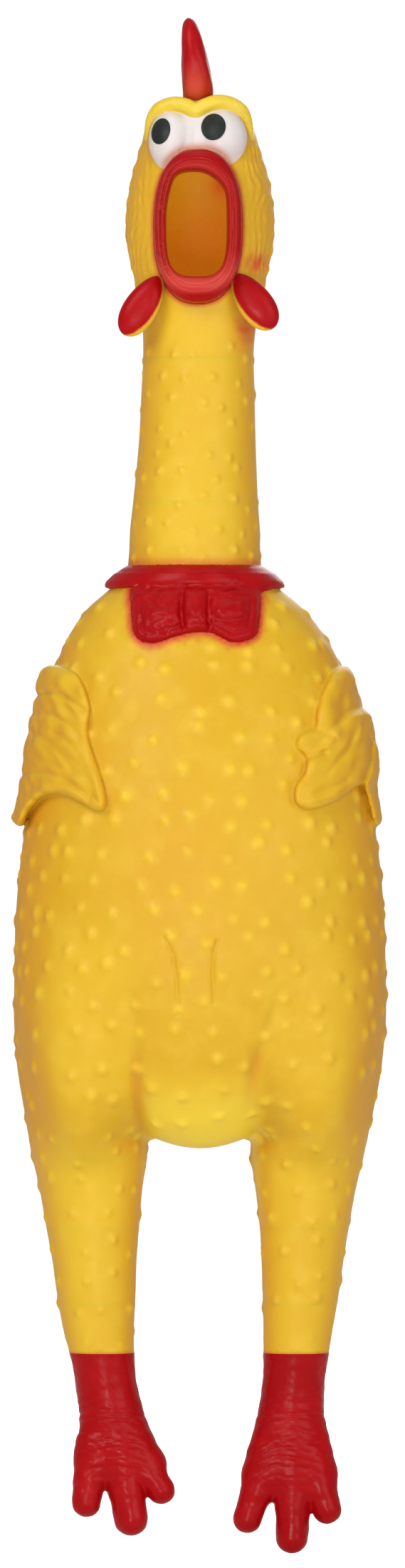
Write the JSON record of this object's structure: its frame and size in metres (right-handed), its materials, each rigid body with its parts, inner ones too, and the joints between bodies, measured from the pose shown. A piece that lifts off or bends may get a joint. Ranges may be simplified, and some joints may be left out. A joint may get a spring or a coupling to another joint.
{
  "type": "rubber chicken",
  "caption": "Hollow rubber chicken squeeze toy held by the body, with open beak, red comb, wattles, bow tie and feet, and a squeaker in the throat.",
  "frame": {"origin": "middle of the body, where a hand squeezes it (mount hand_grip)", "axes": "+Z towards the comb, -Y the way the chicken faces, +X its left side"},
  "size_m": [0.0978, 0.072, 0.3998],
  "materials": {
    "yellow_skin": "soft satin vinyl skin",
    "lemon_skin": "soft satin vinyl, painted lemon yellow",
    "red_paint": "red paint on the vinyl skin, satin",
    "eye_white": "white paint on the vinyl skin, satin",
    "pupil_black": "near-black paint on the vinyl skin, glossy",
    "squeaker_plastic": "moulded polystyrene",
    "reed_metal": "thin rolled strip"
  },
  "bodies": {
    "torso": {"torso_shell": "yellow_skin", "collar": "red_paint", "bow_tie": "red_paint", "left_wing": "yellow_skin", "right_wing": "yellow_skin", "tail": "yellow_skin", "neck_base_flex": "yellow_skin", "left_hip_flex": "yellow_skin", "right_hip_flex": "yellow_skin"},
    "belly": {"belly_panel": "yellow_skin"},
    "neck_lower": {"lower_neck": "yellow_skin", "neck_mid_flex": "yellow_skin"},
    "neck_upper": {"upper_neck": "yellow_skin", "throat_flex": "yellow_skin", "squeaker_barrel": "squeaker_plastic", "squeaker_cap": "squeaker_plastic", "reed_seat": "squeaker_plastic"},
    "reed": {"reed": "reed_metal"},
    "head": {"head_shell": "yellow_skin", "beak": "red_paint", "brow_ridge": "lemon_skin", "left_eye": "eye_white", "right_eye": "eye_white", "left_pupil": "pupil_black", "right_pupil": "pupil_black", "comb_flex": "red_paint"},
    "comb": {"comb": "red_paint"},
    "left_wattle": {"left_wattle": "red_paint"},
    "right_wattle": {"right_wattle": "red_paint"},
    "left_thigh": {"left_thigh": "yellow_skin", "left_leg_flex": "yellow_skin"},
    "left_shank": {"left_shank": "yellow_skin", "left_ankle_flex": "yellow_skin"},
    "left_foot": {"left_foot": "red_paint"},
    "right_thigh": {"right_thigh": "yellow_skin", "right_leg_flex": "yellow_skin"},
    "right_shank": {"right_shank": "yellow_skin", "right_ankle_flex": "yellow_skin"},
    "right_foot": {"right_foot": "red_paint"}
  },
  "joints": [
    {"name": "neck_bend", "type": "hinge", "parent": "torso", "child": "neck_lower", "pos_m": [-0.00134, 0, 0.09845], "axis": [1, 0, 0], "range_deg": [-35, 35], "stiffness_Nm_per_rad": 0.35, "deforming": ["neck_base_flex"]},
    {"name": "neck_sway", "type": "hinge", "parent": "neck_lower", "child": "neck_upper", "pos_m": [-0.00093, 0, 0.1165], "axis": [0, 1, 0], "range_deg": [-35, 35], "stiffness_Nm_per_rad": 0.3, "deforming": ["neck_mid_flex"]},
    {"name": "head_nod", "type": "hinge", "parent": "neck_upper", "child": "head", "pos_m": [-0.00023, 0, 0.1528], "axis": [1, 0, 0], "range_deg": [-28, 28], "stiffness_Nm_per_rad": 0.2, "deforming": ["throat_flex"]},
    {"name": "comb_wag", "type": "hinge", "parent": "head", "child": "comb", "pos_m": [-0.0007, 0, 0.2164], "axis": [0, 1, 0], "range_deg": [-20, 20], "stiffness_Nm_per_rad": 0.004, "deforming": ["comb_flex"]},
    {"name": "left_wattle_flap", "type": "hinge", "parent": "head", "child": "left_wattle", "pos_m": [0.00918, -0.0148, 0.16643], "axis": [0, -1, 0], "range_deg": [-5, 45], "stiffness_Nm_per_rad": 0.0006},
    {"name": "right_wattle_flap", "type": "hinge", "parent": "head", "child": "right_wattle", "pos_m": [-0.01024, -0.0148, 0.16636], "axis": [0, 1, 0], "range_deg": [-5, 45], "stiffness_Nm_per_rad": 0.0006},
    {"name": "belly_squeeze", "type": "slide", "parent": "torso", "child": "belly", "axis": [0, 1, 0], "range_m": [0, 0.012], "stiffness_N_per_m": 600},
    {"name": "reed_flutter", "type": "hinge", "parent": "neck_upper", "child": "reed", "pos_m": [-0.00054, -0.00075, 0.1286], "axis": [1, 0, 0], "range_deg": [-1, 5], "stiffness_Nm_per_rad": 0.0004},
    {"name": "left_hip_swing", "type": "hinge", "parent": "torso", "child": "left_thigh", "pos_m": [0.02753, 0, -0.06915], "axis": [1, 0, 0], "range_deg": [-40, 40], "stiffness_Nm_per_rad": 0.08, "deforming": ["left_hip_flex"]},
    {"name": "left_leg_splay", "type": "hinge", "parent": "left_thigh", "child": "left_shank", "pos_m": [0.02661, 0, -0.09], "axis": [0, -1, 0], "range_deg": [-5, 40], "stiffness_Nm_per_rad": 0.05, "deforming": ["left_leg_flex"]},
    {"name": "left_foot_flop", "type": "hinge", "parent": "left_shank", "child": "left_foot", "pos_m": [0.02538, 0, -0.10835], "axis": [1, 0, 0], "range_deg": [-35, 35], "stiffness_Nm_per_rad": 0.03, "deforming": ["left_ankle_flex"]},
    {"name": "right_hip_swing", "type": "hinge", "parent": "torso", "child": "right_thigh", "pos_m": [-0.02843, 0, -0.06915], "axis": [1, 0, 0], "range_deg": [-40, 40], "stiffness_Nm_per_rad": 0.08, "deforming": ["right_hip_flex"]},
    {"name": "right_leg_splay", "type": "hinge", "parent": "right_thigh", "child": "right_shank", "pos_m": [-0.02741, 0, -0.09], "axis": [0, 1, 0], "range_deg": [-5, 40], "stiffness_Nm_per_rad": 0.05, "deforming": ["right_leg_flex"]},
    {"name": "right_foot_flop", "type": "hinge", "parent": "right_shank", "child": "right_foot", "pos_m": [-0.02623, 0, -0.10835], "axis": [1, 0, 0], "range_deg": [-35, 35], "stiffness_Nm_per_rad": 0.03, "deforming": ["right_ankle_flex"]}
  ]
}
